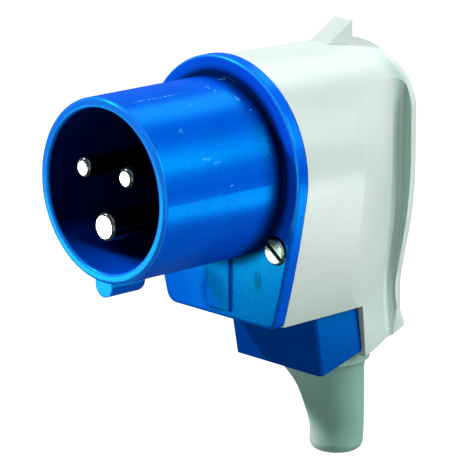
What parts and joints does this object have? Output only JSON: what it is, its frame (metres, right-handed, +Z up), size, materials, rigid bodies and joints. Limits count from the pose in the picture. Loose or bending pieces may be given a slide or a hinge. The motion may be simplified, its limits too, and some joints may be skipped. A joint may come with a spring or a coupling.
{
  "type": "pin and sleeve plug",
  "caption": "Angled industrial pin and sleeve plug with a keyed round shroud, round contacts and a downward cable outlet with a bend protection boot.",
  "frame": {"origin": "centre of the shroud's mouth plane, on the shroud axis", "axes": "+Z up, the shroud axis along Y with the mouth facing -Y, the cable outlet hanging down along -Z, mirror plane X = 0"},
  "size_m": [0.0536, 0.084, 0.1089],
  "materials": {
    "blue_plastic": "glossy moulded, saturated blue",
    "grey_plastic": "satin moulded, pale greenish grey",
    "black_plastic": "matte moulded, black",
    "black_rubber": "matte sealing rubber",
    "boot_rubber": "matte moulded, grey",
    "plated_brass": "turned and nickel plated",
    "plain_brass": "turned, plain",
    "zinc_steel": "zinc plated"
  },
  "bodies": {
    "root": {"front_housing": "blue_plastic", "housing_gasket": "black_rubber", "rear_housing": "grey_plastic", "contact_carrier": "black_plastic", "contact_line": "plated_brass", "contact_neutral": "plated_brass", "contact_earth": "plated_brass", "contact_retainer": "black_plastic", "retainer_screws": "zinc_steel", "terminal_screws": "zinc_steel", "housing_screws": "zinc_steel", "housing_inserts": "plain_brass", "cable_clamp_saddle": "black_plastic", "cable_clamp_screws": "zinc_steel", "cable_boot": "boot_rubber"}
  },
  "joints": []
}
